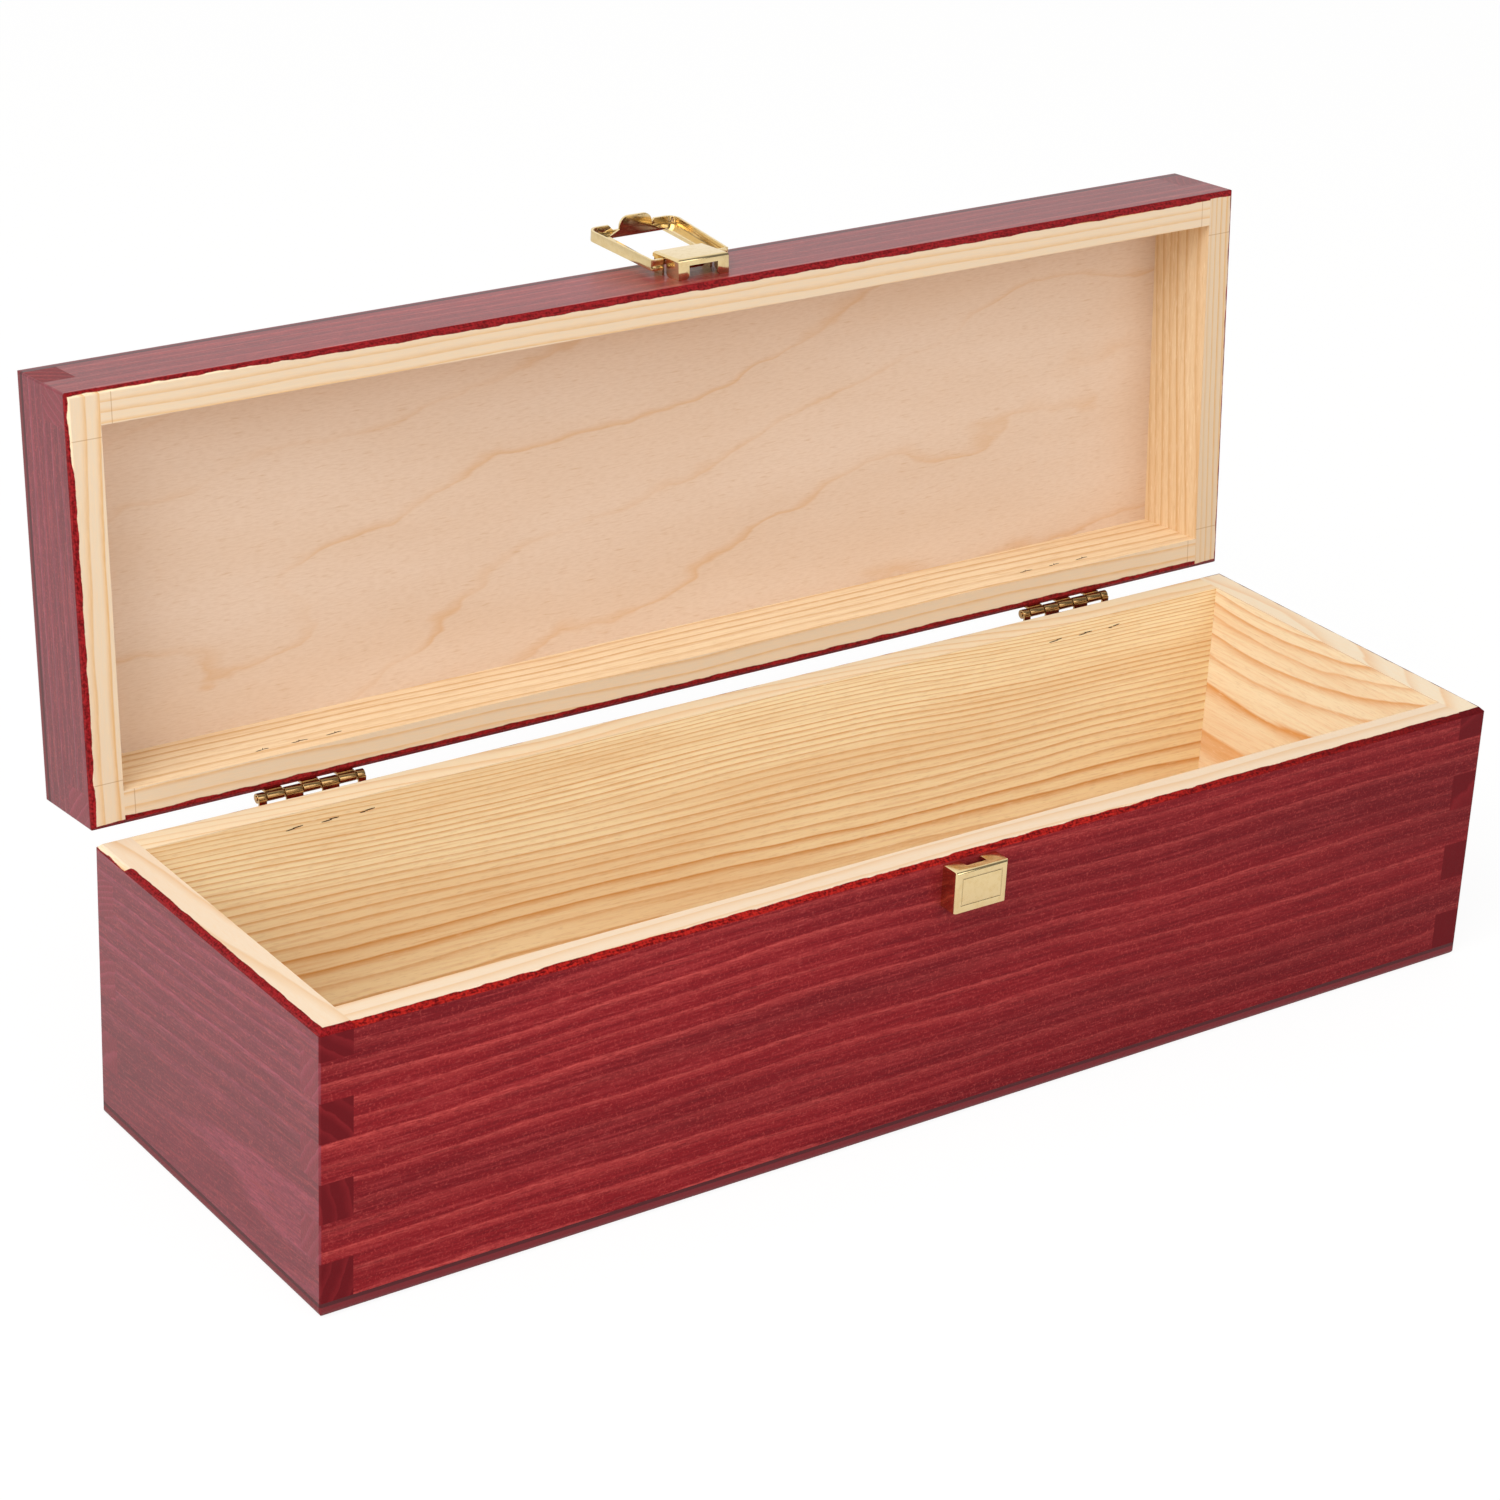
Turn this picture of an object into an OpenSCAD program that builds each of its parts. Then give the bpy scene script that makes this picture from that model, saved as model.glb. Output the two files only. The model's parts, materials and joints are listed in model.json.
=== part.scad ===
// Wooden wine box: finger-jointed walls between two plywood panels, sawn apart into a base and a lid,
// with two nailed hinges at the back and a loop latch at the front.
// Origin: centre of the underside. +X runs along the box, +Y to the back, +Z up.
// The lid and its latch loop are drawn shut, then swung open about their pivots.

/* [Box] */
// Outside length of the box
box_l = 350; // [250:1:450]
// Outside depth of the box, front to back
box_d = 107; // [80:1:160]
// Height of the base, up to its sawn rim
base_h = 73.5; // [50:0.5:120]
// Height of the lid, from its sawn rim to its outer face
lid_h = 26.2; // [24:0.1:60]
// Thickness of the four solid wood walls
wall_t = 8.6; // [7:0.1:14]
// Thickness of the plywood bottom and lid panels
ply_t = 4; // [3:0.1:6]
// Number of fingers in each corner joint, an odd number
finger_n = 9; // [5:2:15]
// Wood lost to the saw between the lid and the base
saw_kerf = 1; // [0.5:0.1:3]
// Gap between the two rims when the lid is shut
rim_gap = 0.1; // [0.05:0.05:0.3]
// Chamfer along the outer edge of both rims
rim_chamfer = 1.2; // [0.6:0.1:1.8]
// Rounding along the outer edges of the two panels
panel_round = 2; // [0.5:0.1:2.8]
// Rounding of the four upright corners
corner_round = 0.6; // [0.2:0.1:1.5]

/* [Hinges] */
// Place of the left hinge along the box
left_hinge_x = -116.5; // [-120:0.5:-60]
// Place of the right hinge along the box
right_hinge_x = 119.5; // [60:0.5:120]
// Length of a hinge
hinge_l = 30; // [24:1:50]
// Height of the flat plate of a hinge leaf
leaf_h = 6.6; // [5:0.1:8]
// Thickness of the hinge sheet
leaf_t = 0.6; // [0.4:0.05:0.8]
// Outside radius of the rolled knuckles
knuckle_r = 1.25; // [1.2:0.01:1.4]
// Gap between two knuckles along the pin
knuckle_gap = 0.4; // [0.1:0.05:0.5]
// Radius of the hinge pin
pin_r = 0.6; // [0.4:0.05:0.7]
// Running clearance between the pin and its knuckles
pin_clear = 0.05; // [0.02:0.01:0.1]
// Distance of the pin's axis behind the back wall
pin_back = 1.6; // [1.5:0.05:2]
// Height of the pin's axis above the rim of the base
pin_rise = 0.6; // [0.5:0.05:1]
// Depth of the notches between the straps, below the rim
notch_below_rim = 2; // [1.8:0.1:3]
// Nails in each hinge leaf
nail_n = 3; // [2:1:4]
// Distance between two nails of a leaf
nail_pitch = 10; // [6:0.5:12]
// Distance of the row of nails from the pin's axis
nail_drop = 4.7; // [4.5:0.1:7]
// Radius of a nail's shank
nail_r = 0.6; // [0.4:0.05:0.8]
// Length of a nail's point
nail_point = 2; // [1:0.1:3]
// How far the points stand out inside the box
nail_proud = 0.5; // [0.2:0.1:1]
// Radius of a nail's head
nail_head_r = 1.15; // [1:0.05:1.5]
// Thickness of a nail's head
nail_head_h = 0.4; // [0.3:0.05:0.8]
// Clearance of the nails in the holes of the leaf
nail_clear = 0.1; // [0.05:0.05:0.2]
// How far the lid stands open
lid_angle = 94.3; // [60:0.1:100]

/* [Latch] */
// Place of the latch along the box
latch_x = 3.2; // [-40:0.1:40]
// Thickness of the latch sheet
sheet_t = 0.65; // [0.5:0.05:0.8]
// Outer radius of the folds in the sheet
bend_r = 0.8; // [0.8:0.05:1.2]
// Width of the catch on the base
catch_w = 15.8; // [12:0.1:24]
// Height of the catch
catch_h = 11; // [8:0.1:14]
// How far the catch stands out from the wall
catch_out = 5.5; // [5:0.1:6]
// Distance of the catch below the rim
catch_drop = 1.7; // [1.5:0.1:4]
// Width of the notch in the top of the catch
notch_w = 6; // [4:0.1:8]
// Depth of that notch, from the wall outwards
notch_out = 2.9; // [1.5:0.1:3.5]
// Distance of the engraved border from the edges of the catch
border_inset = 1.8; // [1.2:0.1:3]
// Width of the engraved line
border_w = 0.3; // [0.2:0.05:0.5]
// Depth of the engraved line
border_deep = 0.12; // [0.05:0.01:0.2]
// Width of the bracket on the lid
bracket_w = 15.2; // [13:0.1:24]
// Length of the bracket, up the lid
bracket_l = 11.7; // [10:0.1:14]
// How far the bracket stands out from the wall
bracket_out = 5.4; // [5.2:0.1:6]
// Distance of the bracket above the rim of the lid
bracket_rise = 5; // [3:0.1:7]
// Width of the opening between the bracket's front legs
opening_w = 8.6; // [5:0.1:9.5]
// Height of that opening
opening_h = 3.5; // [2.5:0.1:3.8]
// Rounding of the feet of the bracket's legs
foot_round = 1.2; // [0.4:0.1:1.4]
// Width of the tongue bent in from the opening
tongue_w = 6.4; // [3:0.1:7]
// Depth of the lip behind the bracket
lip_out = 1.4; // [1:0.1:2]
// Distance of the loop's pivot above the bracket's foot
pivot_up = 6.5; // [6:0.1:7.5]
// Distance of the loop's pivot from the wall
pivot_out = 3.8; // [3.6:0.05:3.8]
// Width of an ear of the loop, across its pivot
ear_w = 1.6; // [1.2:0.05:1.6]
// How far an ear reaches into the bracket
ear_in = 1; // [0.5:0.1:2]
// Clearance of the ears in their slots
ear_clear = 0.08; // [0.05:0.01:0.2]
// Clearance of the loop on both sides of the catch
loop_side_clear = 0.4; // [0.2:0.05:1]
// Width of the loop's arms at the pivot
arm_w = 3.35; // [2.8:0.05:5]
// How much wider each arm is at the loop's far end
arm_splay = 1.75; // [0:0.05:2.5]
// How far the arms run on past the pivot
arm_past = 0.9; // [0.7:0.05:1.5]
// Height of the turned-up rim of the loop
flange_h = 2.8; // [2:0.1:3.2]
// Place of the loop's plate, outwards from its pivot
plate_out = 1.9; // [1.8:0.05:2.2]
// Width of the strip past the loop's tab
far_strip = 1.9; // [1.5:0.1:4]
// Radius of the loop's far corners
far_round = 3; // [1.5:0.1:4]
// Width of the raised band along the loop's window
band_w = 1.5; // [1:0.1:2]
// Rise of that band
band_up = 0.2; // [0.1:0.05:0.3]
// Width of the tab at its root
tab_root_w = 15.2; // [11:0.1:15.2]
// Width of the tab at its shoulders
tab_w = 9.8; // [6:0.1:10.5]
// Height of the tab, from the outside of the loop
tab_h = 5.4; // [4.5:0.1:5.4]
// Height of the tab's shoulders
shoulder_h = 2; // [1.5:0.1:2.5]
// Radius of the tab's corners
tab_round = 2.6; // [1:0.1:3.3]
// Clearance of the tab under the catch
tab_clear = 0.25; // [0.2:0.05:0.6]
// Width of the dip in the loop's far rim
dip_w = 11; // [6:0.5:14]
// Height that is left of the far rim in the dip
dip_h = 1.3; // [1:0.1:2]
// How far the loop is folded back from shut
loop_angle = 174; // [120:1:178]
// Length of the prongs that hold the catch and the bracket in the wood
prong_l = 5.5; // [3:0.1:6.5]
// Width of a prong at its root
prong_w = 1.8; // [1:0.1:2.4]

/* [Hidden] */
$fn = 48;
red_stain = [0.55, 0.11, 0.16];
bare_ply = [0.88, 0.76, 0.62];
pale_gold = [0.86, 0.76, 0.5];
old_brass = [0.55, 0.42, 0.24];
arc_steps = 8;
over = 1;               // how far a cutter runs past the face it cuts
knuckle_n = 7;          // knuckles of a hinge, the first and last of half width

stack_h = base_h - ply_t + saw_kerf + lid_h - ply_t;  // wall height before the lid is sawn off
finger_h = stack_h / finger_n;
lid_shift = rim_gap - saw_kerf;                       // from the uncut wall to the shut lid
pin_y = box_d / 2 + pin_back;
pin_z = base_h + pin_rise;
strap_h = pin_rise + notch_below_rim;
knuckle_w = hinge_l / (knuckle_n - 1);
lid_foot_z = base_h + rim_gap + bracket_rise;
catch_z = base_h - catch_drop - catch_h;
pivot_z = lid_foot_z + pivot_up;
window_w = max(catch_w, bracket_w) + 2 * loop_side_clear;
tab_reach = pivot_z - catch_z + tab_clear;            // from the pivot to the near face of the tab
loop_reach = tab_reach + sheet_t + far_strip;
near_w = window_w + 2 * arm_w;
far_w = near_w + 2 * arm_splay;
ear_r = norm([ear_w, sheet_t]) / 2;                   // the circle that an ear turns in
slot_r = ear_r + ear_clear + (bracket_out - sheet_t - pivot_out - ear_r - ear_clear) / 2;
side_prong_ys = [0.2, 0.8];                           // places of the prongs, as shares of a side

function arc(centre, r, from, to) =
    [for (i = [0 : arc_steps]) centre + r * [cos(from + (to - from) * i / arc_steps),
                                             sin(from + (to - from) * i / arc_steps)]];

// ---- Moving the lid and the loop ----

module opened_lid() {
    translate([0, pin_y, pin_z]) rotate([-lid_angle, 0, 0]) translate([0, -pin_y, -pin_z]) children();
}

// Stands what is drawn in X (across), Y (up) and Z (out of the wall) on the front of the box.
module on_front(z) {
    translate([latch_x, -box_d / 2, z]) rotate([90, 0, 0]) children();
}

// ---- Wood ----

// A rectangle with its two lower corners rounded.
module rounded_below(w, h, r) {
    translate([-w / 2, r]) square([w, h - r]);
    translate([r - w / 2, 0]) square([w - 2 * r, h]);
    for (side = [-1, 1])
        translate([side * (w / 2 - r), r]) circle(r);
}

module box_plan() {
    square([box_l - 2 * corner_round, box_d], center = true);
    square([box_l, box_d - 2 * corner_round], center = true);
    for (x = [-1, 1], y = [-1, 1])
        translate([x * (box_l / 2 - corner_round), y * (box_d / 2 - corner_round)]) circle(corner_round);
}

// A rectangle with its two upper corners chamfered.
module chamfered_above(w, h) {
    polygon([[-w / 2, 0], [w / 2, 0], [w / 2, h - rim_chamfer], [w / 2 - rim_chamfer, h],
             [rim_chamfer - w / 2, h], [-w / 2, h - rim_chamfer]]);
}

// The outer form of a half of the box, its rim up.
module half_form(h) {
    intersection() {
        linear_extrude(h) box_plan();
        rotate([90, 0, 90]) linear_extrude(box_l, center = true) chamfered_above(box_d, h);
        rotate([90, 0, 0]) linear_extrude(box_d, center = true) chamfered_above(box_l, h);
    }
}

// A plywood panel, its rounded edges down.
module panel() {
    intersection() {
        linear_extrude(ply_t) box_plan();
        rotate([90, 0, 90]) linear_extrude(box_l, center = true) rounded_below(box_d, ply_t, panel_round);
        rotate([90, 0, 0]) linear_extrude(box_d, center = true) rounded_below(box_l, ply_t, panel_round);
    }
}

// An uncut wall along X, with a finger past its ends at every second step.
module long_board(side) {
    translate([0, side * (box_d - wall_t) / 2, ply_t]) {
        translate([0, 0, stack_h / 2]) cube([box_l - 2 * wall_t, wall_t, stack_h], center = true);
        for (step = [1 : 2 : finger_n - 1])
            translate([0, 0, (step + 0.5) * finger_h]) cube([box_l, wall_t, finger_h], center = true);
    }
}

// An uncut wall along Y, with the fingers that fill the other steps.
module end_board(side) {
    translate([side * (box_l - wall_t) / 2, 0, ply_t]) {
        translate([0, 0, stack_h / 2]) cube([wall_t, box_d - 2 * wall_t, stack_h], center = true);
        for (step = [0 : 2 : finger_n - 1])
            translate([0, 0, (step + 0.5) * finger_h]) cube([wall_t, box_d, finger_h], center = true);
    }
}

module base_part() {
    intersection() {
        children();
        half_form(base_h);
    }
}

// The part of a board above the saw cut, lowered onto the base.
module lid_part() {
    translate([0, 0, lid_shift])
        intersection() {
            children();
            translate([0, 0, base_h + saw_kerf + lid_h]) mirror([0, 0, 1]) half_form(lid_h);
        }
}

module bottom_panel() {
    color(red_stain) panel();
}

module base_front_wall() {
    color(red_stain)
        difference() {
            base_part() long_board(-1);
            on_front(catch_z) prongs(catch_w, catch_h);
        }
}

module base_back_wall() {
    color(red_stain)
        difference() {
            base_part() long_board(1);
            for (x = [left_hinge_x, right_hinge_x])
                base_hinge(x) nails();
        }
}

module base_left_wall() {
    color(red_stain) base_part() end_board(-1);
}

module base_right_wall() {
    color(red_stain) base_part() end_board(1);
}

module lid_panel() {
    color(bare_ply)
        opened_lid() translate([0, 0, base_h + rim_gap + lid_h]) mirror([0, 0, 1]) panel();
}

module lid_front_wall() {
    color(red_stain)
        opened_lid()
            difference() {
                lid_part() long_board(-1);
                on_front(lid_foot_z) prongs(bracket_w, bracket_l);
            }
}

module lid_back_wall() {
    color(red_stain)
        difference() {
            opened_lid() lid_part() long_board(1);
            for (x = [left_hinge_x, right_hinge_x])
                lid_hinge(x) nails();
        }
}

module lid_left_wall() {
    color(red_stain) opened_lid() lid_part() end_board(-1);
}

module lid_right_wall() {
    color(red_stain) opened_lid() lid_part() end_board(1);
}

// ---- Hinges, drawn with the pin along X through the origin and the leaf hanging down ----

module base_hinge(x) {
    translate([x, pin_y, pin_z]) children();
}

module lid_hinge(x) {
    opened_lid() translate([x, pin_y, pin_z]) mirror([0, 0, 1]) children();
}

function knuckle_start(i) = i == 0 ? -hinge_l / 2 : -hinge_l / 2 + (i - 0.5) * knuckle_w;
function knuckle_end(i) = i == knuckle_n - 1 ? hinge_l / 2 : -hinge_l / 2 + (i + 0.5) * knuckle_w;

// A leaf lies on the wall; a strap rises from it to each of its knuckles, first, first + 2 and so on.
module leaf(first) {
    difference() {
        union() {
            translate([-hinge_l / 2, -pin_back, -strap_h - leaf_h]) cube([hinge_l, leaf_t, leaf_h]);
            for (i = [first : 2 : knuckle_n - 1])
                translate([knuckle_start(i) + knuckle_gap / 2, 0, 0])
                    knuckle(knuckle_end(i) - knuckle_start(i) - knuckle_gap);
        }
        rotate([0, 90, 0]) cylinder(r = pin_r + pin_clear, h = hinge_l + over, center = true);
        for (x = nail_xs())
            translate([x, leaf_t / 2 - pin_back, -nail_drop]) rotate([90, 0, 0])
                cylinder(r = nail_r + nail_clear, h = leaf_t + over, center = true);
    }
}

module knuckle(w) {
    translate([0, -pin_back, -strap_h - leaf_t]) cube([w, leaf_t, strap_h + leaf_t]);
    rotate([0, 90, 0]) cylinder(r = knuckle_r, h = w);
}

function nail_xs() = [for (i = [0 : nail_n - 1]) (i - (nail_n - 1) / 2) * nail_pitch];

// The nails of a leaf, driven from behind through the leaf and the wall.
module nails() {
    for (x = nail_xs())
        translate([x, leaf_t - pin_back, -nail_drop]) rotate([-90, 0, 0]) nail();
}

// A nail with its head above the XY plane and its point below.
module nail() {
    length = leaf_t + wall_t + nail_proud;
    rotate_extrude()
        polygon([[0, -length], [nail_r, nail_point - length], [nail_r, 0], [nail_head_r, 0],
                 [nail_head_r, nail_head_h / 2], [nail_head_r / 2, nail_head_h], [0, nail_head_h]]);
}

module pin() {
    rotate([0, 90, 0]) cylinder(r = pin_r, h = hinge_l, center = true);
}

module left_hinge_base_leaf() {
    color(old_brass) base_hinge(left_hinge_x) leaf(0);
}

module left_hinge_lid_leaf() {
    color(old_brass) lid_hinge(left_hinge_x) leaf(1);
}

module left_hinge_pin() {
    color(old_brass) base_hinge(left_hinge_x) pin();
}

module left_hinge_base_nails() {
    color(old_brass) base_hinge(left_hinge_x) nails();
}

module left_hinge_lid_nails() {
    color(old_brass) lid_hinge(left_hinge_x) nails();
}

module right_hinge_base_leaf() {
    color(old_brass) base_hinge(right_hinge_x) leaf(0);
}

module right_hinge_lid_leaf() {
    color(old_brass) lid_hinge(right_hinge_x) leaf(1);
}

module right_hinge_pin() {
    color(old_brass) base_hinge(right_hinge_x) pin();
}

module right_hinge_base_nails() {
    color(old_brass) base_hinge(right_hinge_x) nails();
}

module right_hinge_lid_nails() {
    color(old_brass) lid_hinge(right_hinge_x) nails();
}

// ---- Latch, drawn in X (across), Y (up) and Z (out of the wall) ----

// Extrudes a shape drawn in X and Z along Y, from 0 to h.
module upright(h) {
    translate([0, h, 0]) rotate([90, 0, 0]) linear_extrude(h) children();
}

// Extrudes a shape drawn in Y and Z across X.
module across(w) {
    rotate([90, 0, 90]) linear_extrude(w, center = true) children();
}

// A rectangle on the X axis with its two outer corners rounded.
module folded(w, out, r) {
    translate([-w / 2, 0]) square([w, out - r]);
    translate([r - w / 2, 0]) square([w - 2 * r, out]);
    for (side = [-1, 1])
        translate([side * (w / 2 - r), out - r]) circle(r);
}

// A block from 0 to h up the wall, rounded along its outer edges.
module folded_block(w, h, out, r) {
    intersection() {
        upright(h) folded(w, out, r);
        across(w) translate([h / 2, 0]) folded(h, out, r);
    }
}

// Pointed prongs that run into the wood from both sides of a folded sheet.
module prongs(w, h) {
    for (side = [-1, 1], share = side_prong_ys)
        translate([side * (w - sheet_t) / 2, share * h, 0])
            across(sheet_t) polygon([[-prong_w / 2, 0], [prong_w / 2, 0], [0, -prong_l]]);
}

module catch_sheet() {
    inner_r = bend_r - sheet_t;
    difference() {
        // the block reaches below the catch, so that its bottom edge is cut square
        translate([0, -catch_h, 0]) folded_block(catch_w, 2 * catch_h, catch_out, bend_r);
        translate([-catch_w, -2 * catch_h, -over]) cube([2 * catch_w, 2 * catch_h, 2 * catch_out]);
        translate([0, -catch_h - sheet_t, 0])
            folded_block(catch_w - 2 * sheet_t, 2 * catch_h, catch_out - sheet_t, inner_r);
        translate([-notch_w / 2, catch_h - 2 * sheet_t, -over]) cube([notch_w, 3 * sheet_t, notch_out + over]);
        translate([0, catch_h / 2, catch_out - border_deep]) linear_extrude(over) border();
    }
}

module border() {
    w = catch_w - 2 * border_inset;
    h = catch_h - 2 * border_inset;
    difference() {
        square([w, h], center = true);
        square([w - 2 * border_w, h - 2 * border_w], center = true);
    }
}

module latch_catch() {
    color(pale_gold)
        on_front(catch_z)
            union() {
                catch_sheet();
                prongs(catch_w, catch_h);
            }
}

// What is cut away beside a foot, so that its end is round.
module foot_corner(r) {
    difference() {
        translate([-over, -over]) square([r + over, r + over]);
        translate([r, r]) circle(r);
    }
}

// The opening between the front legs, and the round feet beside it.
module front_opening() {
    translate([-opening_w / 2, -over]) square([opening_w, opening_h + over]);
    for (side = [-1, 1])
        translate([side * opening_w / 2, 0]) mirror([side > 0 ? 0 : 1, 0]) foot_corner(foot_round);
}

// The slot for an ear of the loop, open to the wood, and the round foot in front of it.
module side_slot() {
    slot_top = bracket_out - sheet_t;
    translate([pivot_up - slot_r, -over]) square([2 * slot_r, slot_top - slot_r + over]);
    translate([pivot_up, slot_top - slot_r]) circle(slot_r);
    translate([pivot_up - slot_r, 0]) mirror([1, 0]) foot_corner(foot_round);
}

// A curved tongue, bent in and down from the top of the opening.
module tongue() {
    r = opening_h + sheet_t;
    intersection() {
        across(tongue_w)
            polygon(concat(arc([sheet_t, 0], r, 95, 30), arc([sheet_t, 0], opening_h, 30, 95)));
        linear_extrude(bracket_out)
            polygon([[-tongue_w / 2, 0], [tongue_w / 2, 0], [tongue_w / 3, r], [-tongue_w / 3, r]]);
    }
}

module bracket_sheet() {
    inner_l = bracket_l - 2 * sheet_t;
    difference() {
        folded_block(bracket_w, bracket_l, bracket_out, bend_r);
        translate([0, sheet_t, 0])
            folded_block(bracket_w - 2 * sheet_t, inner_l, bracket_out - sheet_t, bend_r - sheet_t);
        translate([0, -over, 0]) upright(sheet_t + 2 * over) front_opening();
        across(bracket_w + over) side_slot();
        translate([-bracket_w / 2 - over, bracket_l - sheet_t, -over])
            cube([bracket_w + 2 * over, sheet_t + over, bracket_out - lip_out + over]);
    }
}

module latch_bracket() {
    color(pale_gold)
        opened_lid() on_front(lid_foot_z)
            union() {
                bracket_sheet();
                tongue();
                prongs(bracket_w, bracket_l);
            }
}

// The outline of the loop, drawn in by inset: Y is 0 at the pivot and negative towards the far end.
module loop_outline(inset) {
    near = near_w / 2 - inset;
    far = far_w / 2 - inset;
    end = loop_reach - inset;
    r = far_round - inset;
    polygon(concat([[near, arm_past], [-near, arm_past]], arc([r - far, r - end], r, 180, 270),
                   arc([far - r, r - end], r, 270, 360)));
}

// The window is open towards the pivot, where the bracket stands in it.
module loop_window(inset) {
    translate([inset - window_w / 2, -tab_reach - sheet_t + inset])
        square([window_w - 2 * inset, tab_reach + sheet_t + arm_past + over]);
}

module loop_plate() {
    translate([0, 0, plate_out - sheet_t])
        linear_extrude(sheet_t)
            difference() {
                loop_outline(0);
                loop_window(0);
            }
    translate([0, 0, plate_out - sheet_t - band_up])
        linear_extrude(sheet_t)
            intersection() {
                difference() {
                    loop_window(-band_w);
                    loop_window(0);
                }
                loop_outline(sheet_t / 2);
            }
}

module loop_rim() {
    difference() {
        translate([0, 0, plate_out - flange_h])
            linear_extrude(flange_h)
                difference() {
                    loop_outline(0);
                    loop_outline(sheet_t);
                    translate([-near_w, arm_past - sheet_t]) square([2 * near_w, 2 * sheet_t]);
                }
        translate([0, -loop_reach - over, 0])
            upright(sheet_t + 2 * over) rim_dip();
    }
}

// The dip in the far rim, with sloping ends.
module rim_dip() {
    low = plate_out - dip_h;
    high = plate_out - flange_h - over;
    slope = low - high;
    polygon([[-dip_w / 2, low], [dip_w / 2, low], [dip_w / 2 + slope, high], [-dip_w / 2 - slope, high]]);
}

// The tab that hooks under the catch.
module loop_tab() {
    translate([0, -tab_reach - sheet_t, plate_out])
        upright(sheet_t) mirror([0, 1]) {
            polygon([[-tab_root_w / 2, 0], [tab_root_w / 2, 0], [tab_root_w / 2, sheet_t],
                     [tab_w / 2, shoulder_h], [-tab_w / 2, shoulder_h], [-tab_root_w / 2, sheet_t]]);
            hull() {
                translate([-tab_w / 2, 0]) square([tab_w, sheet_t]);
                for (side = [-1, 1])
                    translate([side * (tab_w / 2 - tab_round), tab_h - tab_round]) circle(tab_round);
            }
        }
    // the plate runs on under the tab, to both sides of the window
    translate([-window_w / 2, -tab_reach - sheet_t, plate_out - sheet_t]) cube([window_w, sheet_t, sheet_t]);
}

// Flat ears that turn in the slots of the bracket.
module loop_ears() {
    reach = bracket_w / 2 - sheet_t - ear_in;
    for (side = [-1, 1])
        translate([side * (reach + near_w / 2 - sheet_t / 2) / 2, 0, 0])
            cube([near_w / 2 - sheet_t / 2 - reach, sheet_t, ear_w], center = true);
}

module latch_loop() {
    color(pale_gold)
        opened_lid()
            on_front(pivot_z) translate([0, 0, pivot_out]) rotate([-loop_angle, 0, 0])
                union() {
                    loop_plate();
                    loop_rim();
                    loop_tab();
                    loop_ears();
                }
}

bottom_panel();
base_front_wall();
base_back_wall();
base_left_wall();
base_right_wall();
latch_catch();
lid_panel();
lid_front_wall();
lid_back_wall();
lid_left_wall();
lid_right_wall();
latch_bracket();
latch_loop();
left_hinge_base_leaf();
left_hinge_lid_leaf();
left_hinge_pin();
left_hinge_base_nails();
left_hinge_lid_nails();
right_hinge_base_leaf();
right_hinge_lid_leaf();
right_hinge_pin();
right_hinge_base_nails();
right_hinge_lid_nails();
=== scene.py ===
"""A wooden wine box, standing open: finger-jointed pine, birch plywood, a folding latch and two hinges."""

import json
import math
from collections import namedtuple

import bmesh
import bpy
from mathutils import Euler, Matrix, Vector


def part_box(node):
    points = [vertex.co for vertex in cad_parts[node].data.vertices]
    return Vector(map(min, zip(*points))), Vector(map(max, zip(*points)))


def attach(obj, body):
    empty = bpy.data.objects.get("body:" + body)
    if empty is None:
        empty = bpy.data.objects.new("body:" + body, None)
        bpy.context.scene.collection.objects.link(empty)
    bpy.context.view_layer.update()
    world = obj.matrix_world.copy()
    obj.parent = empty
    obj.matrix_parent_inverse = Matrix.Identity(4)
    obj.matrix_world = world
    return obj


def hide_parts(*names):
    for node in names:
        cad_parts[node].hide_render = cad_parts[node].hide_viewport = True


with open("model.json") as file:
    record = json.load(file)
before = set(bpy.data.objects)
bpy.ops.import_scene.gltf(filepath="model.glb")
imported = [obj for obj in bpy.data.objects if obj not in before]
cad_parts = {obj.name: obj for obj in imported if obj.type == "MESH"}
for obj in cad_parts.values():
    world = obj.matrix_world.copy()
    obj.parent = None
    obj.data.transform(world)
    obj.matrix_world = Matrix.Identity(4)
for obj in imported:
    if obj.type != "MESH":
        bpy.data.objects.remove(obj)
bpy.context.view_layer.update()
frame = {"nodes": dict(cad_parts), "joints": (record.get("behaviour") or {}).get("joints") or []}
MM = 0.001  # in metres

# ---- What the frame gives, in millimetres: the box, and the turn that shuts its open lid ----

base_low, base_high = (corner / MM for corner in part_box("bottom_panel"))
HALF_L = (base_high.x - base_low.x) / 2
HALF_D = (base_high.y - base_low.y) / 2
PLY = base_high.z
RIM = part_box("base_front_wall")[1].z / MM
lid_hinge = next(joint for joint in frame["joints"] if joint["name"] == "lid_hinge")
LID_AXIS = Vector(lid_hinge["pos_m"]) / MM
LID_OPEN = math.radians(lid_hinge["range_deg"][1])
TURN_SHUT = Matrix.Rotation(LID_OPEN, 4, "X")
SHUT_LID = Matrix.Translation(LID_AXIS) @ TURN_SHUT @ Matrix.Translation(-LID_AXIS)
LID_TOP = max((SHUT_LID @ (v.co / MM)).z for v in frame["nodes"]["lid_panel"].data.vertices)

# ---- Node trees ----

MATH = "ShaderNodeMath"
VECTOR_MATH = "ShaderNodeVectorMath"
SEPARATE = "ShaderNodeSeparateXYZ"
MAP_RANGE = "ShaderNodeMapRange"
MAPPING = "ShaderNodeMapping"
NOISE = "ShaderNodeTexNoise"
MIX = "ShaderNodeMix"


def srgb(text):
    """An sRGB hex colour as linear RGBA."""
    values = [int(text[i : i + 2], 16) / 255 for i in (1, 3, 5)]
    return [v / 12.92 if v <= 0.04045 else ((v + 0.055) / 1.055) ** 2.4 for v in values] + [1.0]


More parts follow.
